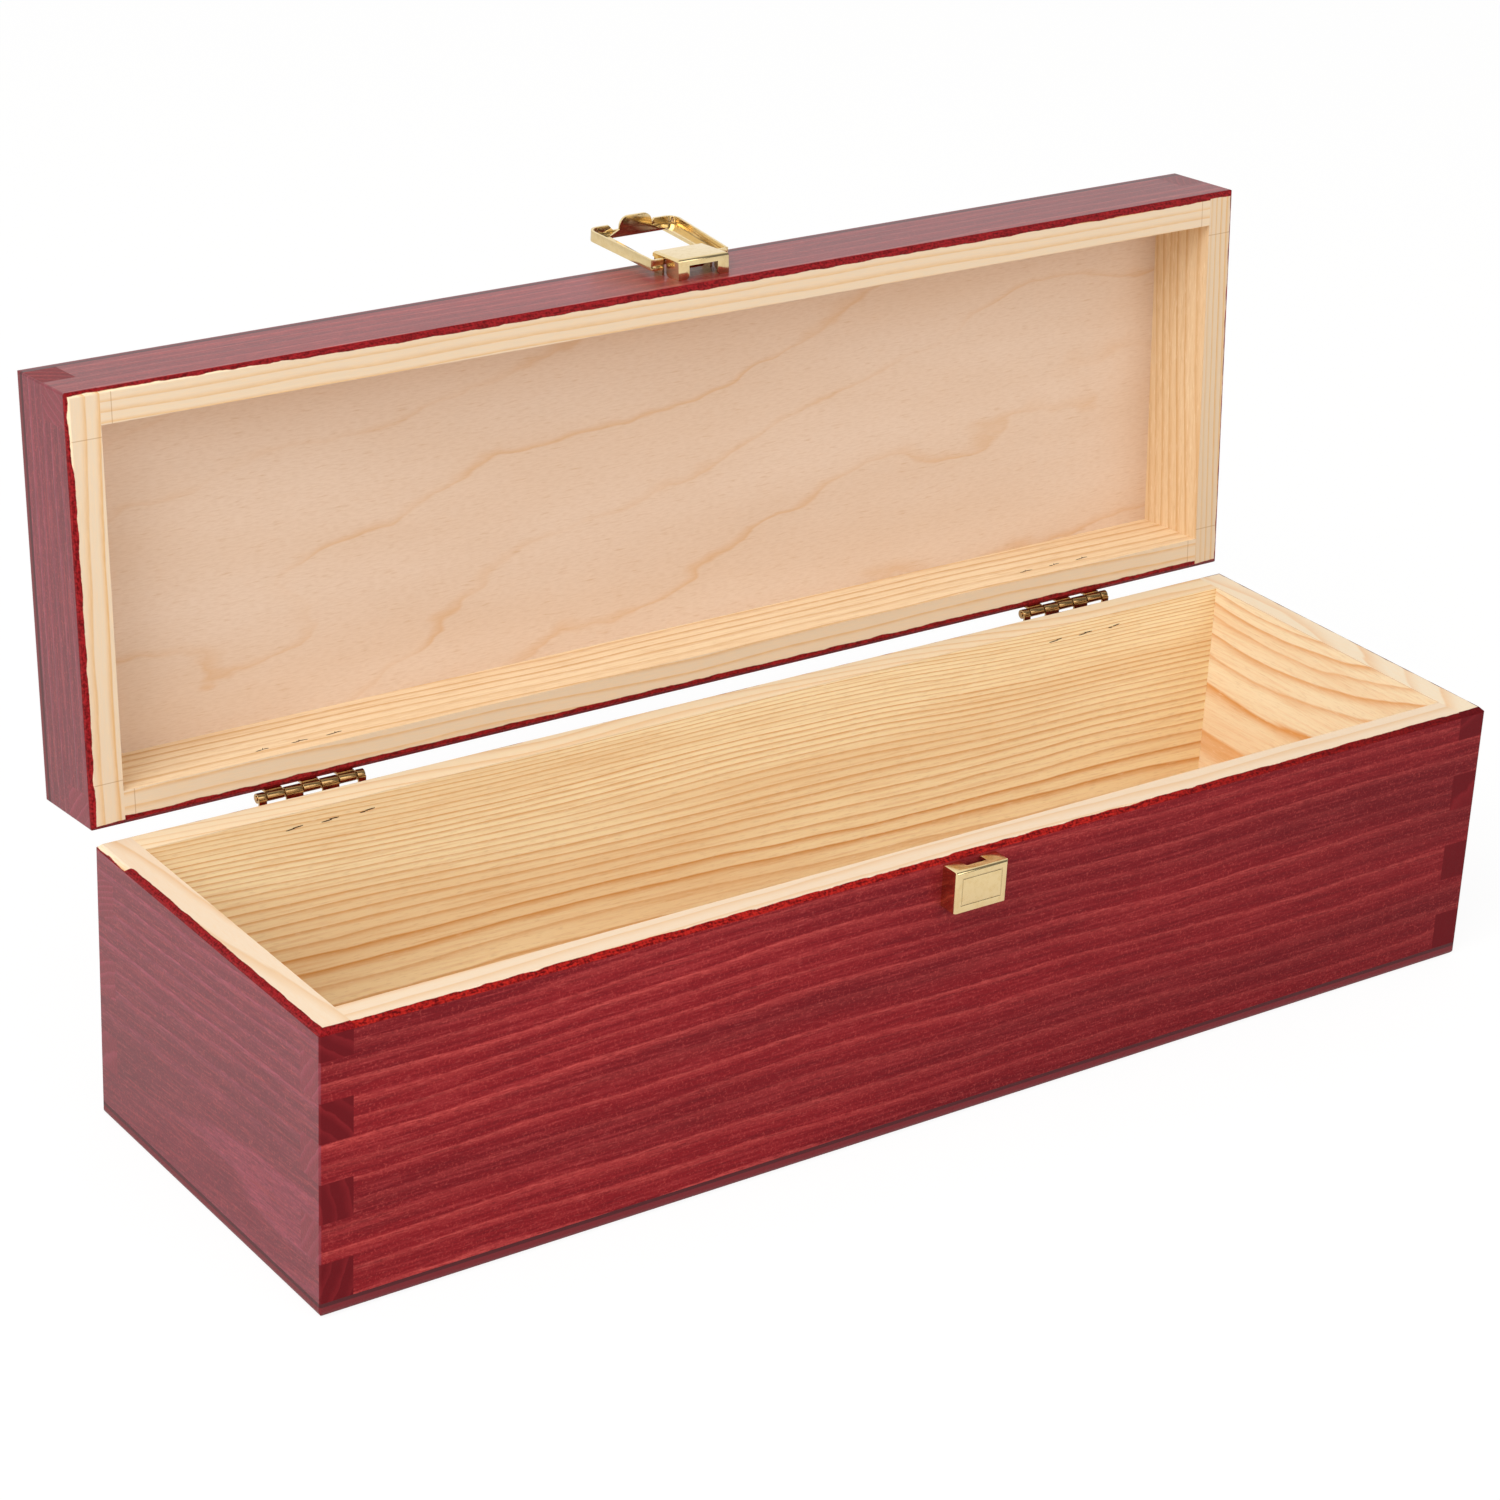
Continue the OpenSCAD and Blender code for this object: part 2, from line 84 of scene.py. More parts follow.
def add(tree, kind, inputs=(), **settings):
    """Adds a node with its settings and links.

    inputs is a tuple in the order of the node's own, or a dictionary by name or number. Each is a value, a
    hex colour, the socket that feeds it, or the node whose first output in use feeds it.
    """
    made = tree.nodes.new(kind)
    for name, value in settings.items():
        setattr(made, name, value)
    keyed = inputs if isinstance(inputs, dict) else dict(enumerate(inputs))
    for key, value in keyed.items():
        if isinstance(value, bpy.types.Node):
            value = next(socket for socket in value.outputs if socket.enabled)
        if isinstance(value, bpy.types.NodeSocket):
            tree.links.new(value, made.inputs[key])
        else:
            made.inputs[key].default_value = srgb(value) if isinstance(value, str) else value
    return made


def new_group(name, inputs, outputs):
    """An empty shader group; each socket is (name, kind)."""
    group = bpy.data.node_groups.new(name, "ShaderNodeTree")
    for label, kind in inputs:
        group.interface.new_socket(label, in_out="INPUT", socket_type="NodeSocket" + kind)
    for label, kind in outputs:
        group.interface.new_socket(label, in_out="OUTPUT", socket_type="NodeSocket" + kind)
    return group


def new_material(name):
    material = bpy.data.materials.new(name)
    material.use_nodes = True
    material.node_tree.nodes.clear()
    return material, material.node_tree


def surface(tree, inputs):
    """Ends a tree with a principled shader."""
    add(tree, "ShaderNodeOutputMaterial", {"Surface": add(tree, "ShaderNodeBsdfPrincipled", inputs)})


def stretched_noise(tree, place, scales, detail):
    """Noise whose lumps are as long, in millimetres, as one over the scale on each axis."""
    scaled = add(tree, VECTOR_MATH, (place, scales), operation="MULTIPLY")
    return add(tree, NOISE, {"Vector": scaled, "Scale": 1.0, "Detail": detail})


def overlaid(tree, colour, layers):
    """A colour with others laid over it in turn.

    A layer is its pattern, the pattern's values where the layer starts and where it is at its most, its
    share there, and its colour.
    """
    for pattern, start, full, most, laid in layers:
        share = add(tree, MAP_RANGE, (pattern, start, full, 0.0, most))
        colour = add(tree, MIX, {0: share, 6: colour, 7: laid}, data_type="RGBA")
    return colour


def shut_place(tree, on_lid):
    """The place on the shut box, in millimetres, of a point of the base or of the open lid."""
    here = add(tree, "ShaderNodeTexCoord").outputs["Object"]
    inputs = {"Vector": here, "Scale": (1 / MM, 1 / MM, 1 / MM)}
    if on_lid:
        inputs["Rotation"] = (LID_OPEN, 0, 0)
        inputs["Location"] = SHUT_LID.translation
    return add(tree, MAPPING, inputs)


def dress(node, material):
    """Gives a CAD node one material."""
    slots = frame["nodes"][node].data.materials
    slots.clear()
    slots.append(material)


# ---- Wood: the figure of the pine ----

RING_VALUES = ("Rings", "Closing", "Sway", "Bow", "Seed")


def pine_figure():
    """Growth rings round a pith that runs along X. Place is in millimetres; Late is 1 in the latewood.

    Rings is how many there are in the first 10 mm, and they get closer outwards by the power Closing. Sway
    is how far they wander and Bow how far the pith rises over 100 mm from its lowest point, in millimetres.
    Fibres are 20 mm long and 0.8 mm wide, pores 3 mm long and a third wide, and Tone changes over 17 mm
    across the grain.
    """
    inputs = [("Place", "Vector")] + [(value, "Float") for value in RING_VALUES]
    outputs = [(pattern, "Float") for pattern in ("Late", "Fibre", "Pores", "Tone")]
    g = new_group("pine figure", inputs, outputs)
    i = add(g, "NodeGroupInput").outputs
    place = add(g, VECTOR_MATH, (i["Place"], i["Seed"]), operation="ADD")

    # the distance from the pith, which wanders and bows
    wander = stretched_noise(g, place, (0.008, 0.022, 0.022), 1.0).outputs["Color"]
    centred = add(g, VECTOR_MATH, (wander, (0.5, 0.5, 0.5)), operation="SUBTRACT")
    sway = add(g, VECTOR_MATH, {0: centred, "Scale": i["Sway"]}, operation="SCALE")
    bent = add(g, VECTOR_MATH, (i["Place"], sway), operation="ADD")
    hundreds = add(g, MATH, (add(g, SEPARATE, (i["Place"],)).outputs["X"], 0.01), operation="MULTIPLY")
    squared = add(g, MATH, (hundreds, hundreds), operation="MULTIPLY")
    rise = add(g, MATH, (squared, i["Bow"]), operation="MULTIPLY")
    risen = add(g, "ShaderNodeCombineXYZ", {"Z": rise})
    bowed = add(g, VECTOR_MATH, (bent, risen), operation="SUBTRACT")
    across = add(g, VECTOR_MATH, (bowed, (0, 1, 1)), operation="MULTIPLY")
    radius = add(g, VECTOR_MATH, (across,), operation="LENGTH")

    # the year of the ring, and how far through the year
    tens = add(g, MATH, (radius, 0.1), operation="MULTIPLY")
    closed = add(g, MATH, (tens, i["Closing"]), operation="POWER")
    years = add(g, MATH, (closed, i["Rings"]), operation="MULTIPLY")
    ripple = stretched_noise(g, place, (0.03, 0.2, 0.2), 2.0)
    wavy = add(g, MATH, (ripple, 0.45, years), operation="MULTIPLY_ADD")
    year = add(g, MATH, (wavy,), operation="FLOOR")
    part = add(g, MATH, (wavy, year), operation="SUBTRACT")

    # each year has its own start and depth of latewood, which darkens slowly and ends at once
    weather = add(g, MATH, (year, i["Seed"]), operation="ADD")
    luck = add(g, "ShaderNodeTexWhiteNoise", {"W": weather}, noise_dimensions="1D").outputs
    start = add(g, MATH, (luck["Value"], 0.3, 0.35), operation="MULTIPLY_ADD")
    darker = add(g, MATH, (add(g, MAP_RANGE, (part, start, 0.9)), 1.4), operation="POWER")
    end = add(g, MAP_RANGE, (part, 0.92, 1.0, 1.0, 0.0))
    shade = add(g, SEPARATE, (luck["Color"],)).outputs["Y"]
    depth = add(g, MATH, (shade, 0.5, 0.5), operation="MULTIPLY_ADD")
    band = add(g, MATH, (darker, end), operation="MULTIPLY")
    patterns = {
        "Late": add(g, MATH, (band, depth), operation="MULTIPLY"),
        "Fibre": stretched_noise(g, place, (0.05, 1.3, 1.3), 3.0),
        "Pores": stretched_noise(g, place, (0.3, 2.8, 2.8), 2.0),
        "Tone": stretched_noise(g, place, (0.006, 0.06, 0.06), 1.0),
    }
    add(g, "NodeGroupOutput", patterns)
    return g


def along_grain(tree, place, pith, turn):
    """The place with its X along the grain and its origin on the pith, which passes through a point."""
    turn = [math.radians(v) for v in turn]
    moved = -(Euler(turn).to_matrix() @ Vector(pith))
    return add(tree, MAPPING, {"Vector": place, "Rotation": turn, "Location": moved})


# ---- Wood: where the stain lies ----

# each pair is two distances, between which a mask fades from one end to the other
SKIN = (-0.5, -0.3)  # outwards from the plane of a face: the skin begins
CHAMFER = (1.15, 1.4)  # from the saw cut: the chamfers end
CUT = (0.2, 0.35)  # from the saw cut: the cut itself ends


def stain_cover():
    """Where the stain lies, from the place on the shut box in millimetres.

    Stained is 1 on the outside, on the chamfers and over the rims as far as Spill. Rim is 1 near the saw
    cut and Sawn on the cut itself. End and Face are 1 on the outer skin of the ends and of the front and
    back.
    """
    inputs = [("Place", "Vector"), ("Spill", "Float")]
    outputs = [(part, "Float") for part in ("Stained", "Rim", "Sawn", "End", "Face")]
    g = new_group("stain cover", inputs, outputs)
    i = add(g, "NodeGroupInput").outputs
    place = add(g, SEPARATE, (i["Place"],)).outputs
    middle = LID_TOP / 2
    height = add(g, MATH, (place["Z"], middle), operation="SUBTRACT")
    depths = []
    for value, half in ((place["X"], HALF_L), (place["Y"], HALF_D), (height, middle)):
        far = add(g, MATH, (value,), operation="ABSOLUTE")
        depths.append(add(g, MATH, (far, half), operation="SUBTRACT"))
    sides = add(g, MATH, (depths[0], depths[1]), operation="MAXIMUM")
    skin = add(g, MATH, (sides, depths[2]), operation="MAXIMUM")
    # the stain's edge is ragged over 6 mm and finer
    ragged = add(g, NOISE, {"Vector": i["Place"], "Scale": 0.16, "Detail": 5.0})
    crept = add(g, MATH, (ragged, 1.1, skin), operation="MULTIPLY_ADD")
    moved = add(g, MATH, (crept, i["Spill"]), operation="ADD")
    above = add(g, MATH, (place["Z"], RIM), operation="SUBTRACT")
    near = add(g, MATH, (above,), operation="ABSOLUTE")
    parts = {
        "Stained": add(g, MAP_RANGE, (moved, 0.5, 0.65)),
        "Rim": add(g, MAP_RANGE, (near, *CHAMFER, 1.0, 0.0)),
        "Sawn": add(g, MAP_RANGE, (near, *CUT, 1.0, 0.0)),
        "End": add(g, MAP_RANGE, (depths[0], *SKIN)),
        "Face": add(g, MAP_RANGE, (depths[1], *SKIN)),
    }
    add(g, "NodeGroupOutput", parts)
    return g


PINE_FIGURE = pine_figure()
STAIN_COVER = stain_cover()

# ---- Wood: the boards ----

# the earlywood and the latewood of each plank
BEIGE_PINE = ("#FFEBBE", "#DA9C54")
YELLOW_PINE = ("#FAECCB", "#E09E56")
CREAM_PINE = ("#F2DCBC", "#D9A566")
LID_PINE = ("#F5DDB8", "#D6A468")
PALE_PINE = ("#EACFA8", "#D4A66E")

END_VARNISH = 0.78  # the weight of the varnish on the ends of the box
PINE_RELIEF = 0.12
SCORE_IN = 11.4  # from the outside of a corner to the knife line
SCORE = (0.08, 0.16)  # the knife line fades between these distances from its middle

# Where the stain ran less over the rim near one end of a board: the axis that the board runs along, the
# place of that end, the place past which the stain has its whole spill, and its spill at that end.
Short = namedtuple("Short", "axis end_at whole_at spill")

# The pith is given by a point that it passes through and its turn in degrees from X, and the rings as for
# pine_figure. gloss is the weight of the varnish away from the ends of the box, and spill how far the
# stain ran over the rim.
Board = namedtuple("Board", "pine pith turn rings closing sway bow seed gloss spill short", defaults=[None])
BOARDS = {
    "base_front_wall": Board(
        CREAM_PINE, pith=(-20, -190, -60), turn=(0, 0, 0),
        rings=3.1, closing=1.0, sway=6, bow=-0.5, seed=11, gloss=0.08, spill=1.2,
    ),
    "base_back_wall": Board(
        BEIGE_PINE, pith=(0, 15, -45), turn=(0, -1.5, 0),
        rings=0.0013, closing=4.0, sway=8, bow=0, seed=23, gloss=0.5, spill=1.2,
    ),
    "base_left_wall": Board(
        CREAM_PINE, pith=(-205, -20, 20), turn=(4, 0, -90),
        rings=2.6, closing=1.0, sway=8, bow=0, seed=37, gloss=0.2, spill=1.6,
        short=Short("Y", end_at=39.0, whole_at=37.0, spill=0.35),
    ),
    "base_right_wall": Board(
        YELLOW_PINE, pith=(200, 25, -5), turn=(0, 0, -90),
        rings=0.0014, closing=4.0, sway=5, bow=28, seed=41, gloss=0.2, spill=1.4,
    ),
    "lid_front_wall": Board(
        LID_PINE, pith=(0, -90, 60), turn=(0, 0.6, 0),
        rings=3.2, closing=1.1, sway=4, bow=0, seed=53, gloss=0.7, spill=1.7,
        short=Short("X", end_at=-160.0, whole_at=-70.0, spill=0.7),
    ),
    "lid_back_wall": Board(
        LID_PINE, pith=(0, 90, 40), turn=(0, -0.6, 0),
        rings=2.6, closing=1.1, sway=5, bow=0, seed=61, gloss=0.6, spill=2.3,
    ),
    "lid_left_wall": Board(
        LID_PINE, pith=(-205, 0, 40), turn=(1, 0, -90),
        rings=2.6, closing=1.1, sway=4, bow=0, seed=73, gloss=0.2, spill=1.3,
        short=Short("Y", end_at=-44.0, whole_at=-28.0, spill=0.7),
    ),
    "lid_right_wall": Board(
        PALE_PINE, pith=(210, 0, 60), turn=(1, 0, -90),
        rings=4.6, closing=1.1, sway=4, bow=0, seed=83, gloss=0.6, spill=1.4,
    ),
}


def score_line(t, place, ends):
    """The knife line that crosses each rim of the lid just past the corner joint."""
    half = HALF_L if ends == "X" else HALF_D
    far = add(t, MATH, (add(t, SEPARATE, (place,)).outputs[ends],), operation="ABSOLUTE")
    past = add(t, MATH, (far, half - SCORE_IN), operation="SUBTRACT")
    off = add(t, MATH, (past,), operation="ABSOLUTE")
    return add(t, MAP_RANGE, (off, *SCORE, 1.0, 0.0))


def bare_pine(t, figure, cover, pine, scored):
    """Planed pine without a finish: creamy earlywood, amber latewood and fine darker fibres."""
    early, late = pine
    wood = add(t, MIX, {0: figure["Late"], 6: early, 7: late}, data_type="RGBA")
    layers = [
        (figure["Fibre"], 0.48, 0.75, 0.32, late),
        (figure["Pores"], 0.55, 0.72, 0.2, "#B98A58"),
        (figure["Pores"], 0.4, 0.28, 0.35, "#FFF0D4"),
        (figure["Tone"], 0.45, 0.65, 0.22, late),
    ]
    wood = overlaid(t, wood, layers)

    # the sawn rims are greyer and pinker, with the hard lines of the rings and rough pores
    grey, hardness = ("#DDC8B4", 0.6) if scored is None else ("#C2AF9E", 0.95)
    hard = add(t, MATH, (figure["Late"], hardness), operation="MULTIPLY")
    greyed = add(t, MIX, {0: 0.5, 6: early, 7: grey}, data_type="RGBA")
    between = add(t, MIX, {0: 0.4, 6: early, 7: late}, data_type="RGBA")
    sawn = add(t, MIX, {0: hard, 6: greyed, 7: late}, data_type="RGBA")
    sawn = overlaid(t, sawn, [(figure["Pores"], 0.45, 0.65, 0.3, between)])
    if scored is not None:
        pencil = add(t, MATH, (scored, 0.5), operation="MULTIPLY")
        sawn = add(t, MIX, {0: pencil, 6: sawn, 7: "#A87850"}, data_type="RGBA")
    return add(t, MIX, {0: cover["Sawn"], 6: wood, 7: sawn}, data_type="RGBA")


def stained_pine(t, figure, cover, place, ends, on_lid):
    """Pine under a red stain: the hard latewood took less of it and shows as paler speckled streaks."""
    patchy = add(t, MAP_RANGE, (figure["Fibre"], 0.3, 0.58, 0.1, 0.95))
    speckled = add(t, MAP_RANGE, (figure["Pores"], 0.35, 0.6, 0.6, 1.45))
    band = add(t, MATH, (figure["Late"], patchy), operation="MULTIPLY")
    streak = add(t, MATH, (band, speckled), operation="MULTIPLY")
    face = add(t, MIX, {0: streak, 6: "#82171E", 7: "#BE4A46"}, data_type="RGBA")
    end = add(t, MIX, {0: streak, 6: "#701828", 7: "#983A4E"}, data_type="RGBA")
    red = add(t, MIX, {0: cover["End"], 6: face, 7: end}, data_type="RGBA")

    # grains of pigment are drawn half a millimetre wide so that they show; the right end is darker
    grit = add(t, NOISE, {"Vector": place, "Scale": 1.9, "Detail": 2.0})
    along = add(t, SEPARATE, (place,)).outputs["X"]
    layers = [
        (figure["Tone"], 0.42, 0.64, 0.45, "#560D16"),
        (figure["Fibre"], 0.5, 0.68, 0.45, "#5E0F18"),
        (figure["Fibre"], 0.48, 0.3, 0.26, "#BC4848"),
        (figure["Pores"], 0.58, 0.72, 0.2, "#D06460"),
        (figure["Pores"], 0.42, 0.3, 0.3, "#4C0A12"),
        (along, -80.0, 140.0, 0.32, "#560D16"),
        (grit, 0.56, 0.72, 0.24, "#D25A52"),
        (grit, 0.44, 0.28, 0.3, "#560C14"),
    ]
    red = overlaid(t, red, layers)

    # end grain drank the stain, and is darkest on the front
    if ends == "X":
        drunk = add(t, MIX, {0: figure["Late"], 6: "#7C1C2A", 7: "#963042"}, data_type="RGBA")
        share = add(t, MATH, (cover["End"], 0.6), operation="MULTIPLY")
    else:
        drunk = add(t, MIX, {0: figure["Late"], 6: "#641118", 7: "#7C1C22"}, data_type="RGBA")
        share = add(t, MATH, (cover["Face"], 0.5 if on_lid else 1.0), operation="MULTIPLY")
    red = add(t, MIX, {0: share, 6: red, 7: drunk}, data_type="RGBA")

    # on the chamfers the stain lies thick over torn fibres, and is brightest on the base's long walls
    specks = add(t, NOISE, {"Vector": place, "Scale": 1.5, "Detail": 4.0})
    lumps = add(t, MATH, (specks, 0.6), operation="MULTIPLY")
    torn = add(t, MATH, (figure["Pores"], 0.4, lumps), operation="MULTIPLY_ADD")
    thin = add(t, MAP_RANGE, (torn, 0.4, 0.58))
    bright = "#AC2019" if ends == "X" and not on_lid else "#92181C"
    rim = add(t, MIX, {0: thin, 6: "#5C0408", 7: bright}, data_type="RGBA")
    if not on_lid:
        rim = overlaid(t, rim, [(along, 40.0, 170.0, 0.8, "#500A10")])
    return add(t, MIX, {0: cover["Rim"], 6: red, 7: rim}, data_type="RGBA")


def varnish_weight(t, cover, gloss, thirsty_fingers):
    """The film of varnish on the stain: full on the ends, thin on the chamfers and on thirsty end grain."""
    weight = add(t, MAP_RANGE, (cover["End"], 0.0, 1.0, gloss, END_VARNISH))
    if thirsty_fingers:
        thinned = add(t, MAP_RANGE, (cover["Face"], 0.0, 1.0, 1.0, 0.2))
        weight = add(t, MATH, (weight, thinned), operation="MULTIPLY")
    thinned = add(t, MAP_RANGE, (cover["Rim"], 0.0, 1.0, 1.0, 0.3))
    weight = add(t, MATH, (weight, thinned), operation="MULTIPLY")
    return add(t, MATH, (weight, cover["Stained"]), operation="MULTIPLY")


def pine_board(node, board):
    """One board of solid pine: bare and matt inside, stained outside under a satin varnish."""
    material, t = new_material("stained pine " + node.replace("_", " "))
    on_lid = node.startswith("lid")
    ends = "X" if node.endswith(("front_wall", "back_wall")) else "Y"
    place = shut_place(t, on_lid)
    inputs = {value: getattr(board, value.lower()) for value in RING_VALUES}
    inputs["Place"] = along_grain(t, place, board.pith, board.turn)
    figure = add(t, "ShaderNodeGroup", inputs, node_tree=PINE_FIGURE).outputs

    spill = board.spill
    short = board.short
    if short is not None:
        along = add(t, SEPARATE, (place,)).outputs[short.axis]
        spill = add(t, MAP_RANGE, (along, short.end_at, short.whole_at, short.spill, spill))
    cover = add(t, "ShaderNodeGroup", {"Place": place, "Spill": spill}, node_tree=STAIN_COVER).outputs

    scored = score_line(t, place, ends) if on_lid else None
    bare = bare_pine(t, figure, cover, board.pine, scored)
    red = stained_pine(t, figure, cover, place, ends, on_lid)
    raised = add(t, MATH, (figure["Late"], 0.6), operation="MULTIPLY")
    raised = add(t, MATH, (figure["Fibre"], 0.6, raised), operation="MULTIPLY_ADD")
    raised = add(t, MATH, (figure["Pores"], 0.4, raised), operation="MULTIPLY_ADD")
    relief = {"Height": raised, "Strength": 0.4, "Distance": PINE_RELIEF * MM}
    bump = add(t, "ShaderNodeBump", relief)
    looks = {
        "Base Color": add(t, MIX, {0: cover["Stained"], 6: bare, 7: red}, data_type="RGBA"),
        "Roughness": add(t, MAP_RANGE, (cover["Stained"], 0.0, 1.0, 0.62, 0.5)),
        "Specular IOR Level": 0.05,
        "Coat Weight": varnish_weight(t, cover, board.gloss, ends == "Y" and not on_lid),
        "Coat Roughness": 0.34,
        "Normal": bump,
        "Coat Normal": bump,
    }
    surface(t, looks)
    return material


for wall, wall_board in BOARDS.items():
    dress(wall, pine_board(wall, wall_board))

# ---- Wood: the panels ----

PLY_SPILL = 1.2
PLY_RELIEF = 0.1


def birch_plywood(part, on_lid):
    """Rotary-cut birch plywood: a pale face with wandering veins and short pores, stained outside."""
    material, t = new_material("stained birch plywood " + part)
    place = shut_place(t, on_lid)
    stain = {"Place": place, "Spill": PLY_SPILL}
    cover = add(t, "ShaderNodeGroup", stain, node_tree=STAIN_COVER).outputs

    # veins are the edges of slanting, bent steps; they fade where the clouds are thin
    field = stretched_noise(t, place, (0.007, 0.016, 0.01), 5.0)
    slant = add(t, VECTOR_MATH, (place, (0.009, 0.036, 0)), operation="DOT_PRODUCT")
    steps = add(t, MATH, (field, 3.4, slant), operation="MULTIPLY_ADD")
    part_way = add(t, MATH, (steps,), operation="FRACT")
    swell = add(t, MAP_RANGE, (part_way, 0.88, 0.97))
    end = add(t, MAP_RANGE, (part_way, 0.97, 1.0, 1.0, 0.0))
    vein = add(t, MATH, (swell, end), operation="MULTIPLY")
    clouds = stretched_noise(t, place, (0.012, 0.05, 0.05), 3.0)
    strength = add(t, MAP_RANGE, (clouds, 0.38, 0.62, 0.06, 0.5))
    faint_vein = add(t, MATH, (vein, strength), operation="MULTIPLY")
    pores = stretched_noise(t, place, (0.22, 1.7, 1.7), 2.0)
    grain = stretched_noise(t, place, (0.45, 2.6, 2.6), 2.0)

    wood = add(t, MIX, {0: clouds, 6: "#E5CEBA", 7: "#D9BBA0"}, data_type="RGBA")
    wood = add(t, MIX, {0: faint_vein, 6: wood, 7: "#D29E64"}, data_type="RGBA")
    wood = overlaid(t, wood, [(pores, 0.6, 0.78, 0.4, "#C69A6E"), (grain, 0.4, 0.68, 0.2, "#C49C76")])

    patches = add(t, MAP_RANGE, (clouds, 0.35, 0.65))
    red_vein = add(t, MATH, (vein, 0.28), operation="MULTIPLY")
    red = add(t, MIX, {0: patches, 6: "#7C1620", 7: "#8E2029"}, data_type="RGBA")
    red = add(t, MIX, {0: red_vein, 6: red, 7: "#B04A52"}, data_type="RGBA")
    red = overlaid(t, red, [(pores, 0.6, 0.78, 0.4, "#4E0F18")])

    # the edge of the plies is darker, with a paler middle ply
    height = add(t, SEPARATE, (place,)).outputs["Z"]
    depth = add(t, MATH, (height, PLY / 2), operation="PINGPONG")
    middle = add(t, MAP_RANGE, (depth, 0.9, 1.1))
    edge = add(t, MIX, {0: middle, 6: "#4A0D14", 7: "#701820"}, data_type="RGBA")
    sides = add(t, MATH, (cover["End"], cover["Face"]), operation="MAXIMUM")
    red = add(t, MIX, {0: sides, 6: red, 7: edge}, data_type="RGBA")
    relief = {"Height": pores, "Strength": 0.2, "Distance": PLY_RELIEF * MM}
    looks = {
        "Base Color": add(t, MIX, {0: cover["Stained"], 6: wood, 7: red}, data_type="RGBA"),
        "Roughness": add(t, MAP_RANGE, (cover["Stained"], 0.0, 1.0, 0.6, 0.36)),
        "Normal": add(t, "ShaderNodeBump", relief),
        "Specular IOR Level": 0.3,
    }
    surface(t, looks)
    return material


dress("bottom_panel", birch_plywood("bottom", False))
dress("lid_panel", birch_plywood("lid", True))

# ---- Metal ----

FOLD_SHADE_REACH = 0.5
SHEET_EASE = 0.1
LEAF_EASE = 0.08
MERGED = 0.002  # vertices of the loose triangles that are nearer than this are one
FLAT_DEG = 0.5  # triangles that meet at less than this are one flat face
FOLD_DEG = 30  # an edge that turns by more than this is eased


def plated_metal(name, clean, dull, roughness, grain):
    """Plated metal: a thin bright skin, duller in clouds of grain millimetres, with painted shade in its
    folds.
    """
    material, t = new_material(name)
    here = add(t, "ShaderNodeTexCoord").outputs["Object"]
    place = add(t, MAPPING, {"Vector": here, "Scale": (1 / MM, 1 / MM, 1 / MM)})
    cloud = add(t, NOISE, {"Vector": place, "Scale": 1 / grain, "Detail": 3.0})
    reach = {"Distance": FOLD_SHADE_REACH * MM}
    open_sky = add(t, "ShaderNodeAmbientOcclusion", reach, samples=8, only_local=True).outputs["AO"]
    colour = overlaid(t, clean, [(cloud, 0.45, 0.75, 0.35, dull)])
    # painted shade: the folds go dark brown where ambient occlusion finds them shut in
    painted_fold_shade = add(t, MAP_RANGE, (open_sky, 0.5, 0.9, 0.6, 0.0))
    looks = {
        "Base Color": add(t, MIX, {0: painted_fold_shade, 6: colour, 7: "#4A3018"}, data_type="RGBA"),
        "Metallic": 1.0,
        "Roughness": add(t, MAP_RANGE, (cloud, 0.3, 0.7, roughness - 0.03, roughness + 0.05)),
    }
    surface(t, looks)
    return material


GILT = plated_metal("gilt plated steel", "#E8D09E", "#D4B272", 0.13, 1.5)
OLD_BRASS = plated_metal("burnished antique brass", "#C29C68", "#5C3820", 0.22, 2.0)
NAIL_STEEL = plated_metal("dull nail steel", "#5A4A3A", "#30261E", 0.4, 0.6)


def eased_copy(node, body, material, radius):
    """Puts a copy with eased edges in a CAD node's stead, as stamped sheet is after tumbling."""
    mesh = frame["nodes"][node].data.copy()
    edit = bmesh.new()
    edit.from_mesh(mesh)
    bmesh.ops.remove_doubles(edit, verts=edit.verts, dist=MERGED * MM)
    bmesh.ops.dissolve_limit(edit, angle_limit=math.radians(FLAT_DEG), verts=edit.verts, edges=edit.edges)
    edit.to_mesh(mesh)
    edit.free()
    mesh.materials.clear()
    mesh.materials.append(material)
    mesh.shade_smooth()
    piece = bpy.data.objects.new(node + "_eased", mesh)
    bpy.context.scene.collection.objects.link(piece)
    bevel = piece.modifiers.new("eased edges", "BEVEL")
    bevel.width = radius * MM
    bevel.segments = 3
    bevel.limit_method = "ANGLE"
    bevel.angle_limit = math.radians(FOLD_DEG)
    bevel.harden_normals = True
    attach(piece, body)
    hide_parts(node)


eased_copy("latch_catch", "base", GILT, SHEET_EASE)
eased_copy("latch_bracket", "lid", GILT, SHEET_EASE)
eased_copy("latch_loop", "loop", GILT, SHEET_EASE)
for side in ("left", "right"):
    eased_copy(side + "_hinge_base_leaf", "base", OLD_BRASS, LEAF_EASE)
    eased_copy(side + "_hinge_lid_leaf", "lid", OLD_BRASS, LEAF_EASE)
    dress(side + "_hinge_pin", OLD_BRASS)
    dress(side + "_hinge_base_nails", NAIL_STEEL)
    dress(side + "_hinge_lid_nails", NAIL_STEEL)

# ---- Torn wood where the nails' points break through the inner faces, with painted shade in the splits ----

NAIL_PROUD = 0.5
SAME_PLACE = 0.05  # vertices nearer than this belong to one nail's point
SPLIT_LONGEST = 3.4
SPLIT_DEEP = 0.2
SPLIT_THICK = 0.3
SPLIT_PLACES = ((0.9, 0.1), (-1.1, -0.2))  # along and across the grain from each point
INWARDS = Vector((0, -1, 0))
INWARDS_ON_LID = SHUT_LID.to_3x3().inverted() @ INWARDS


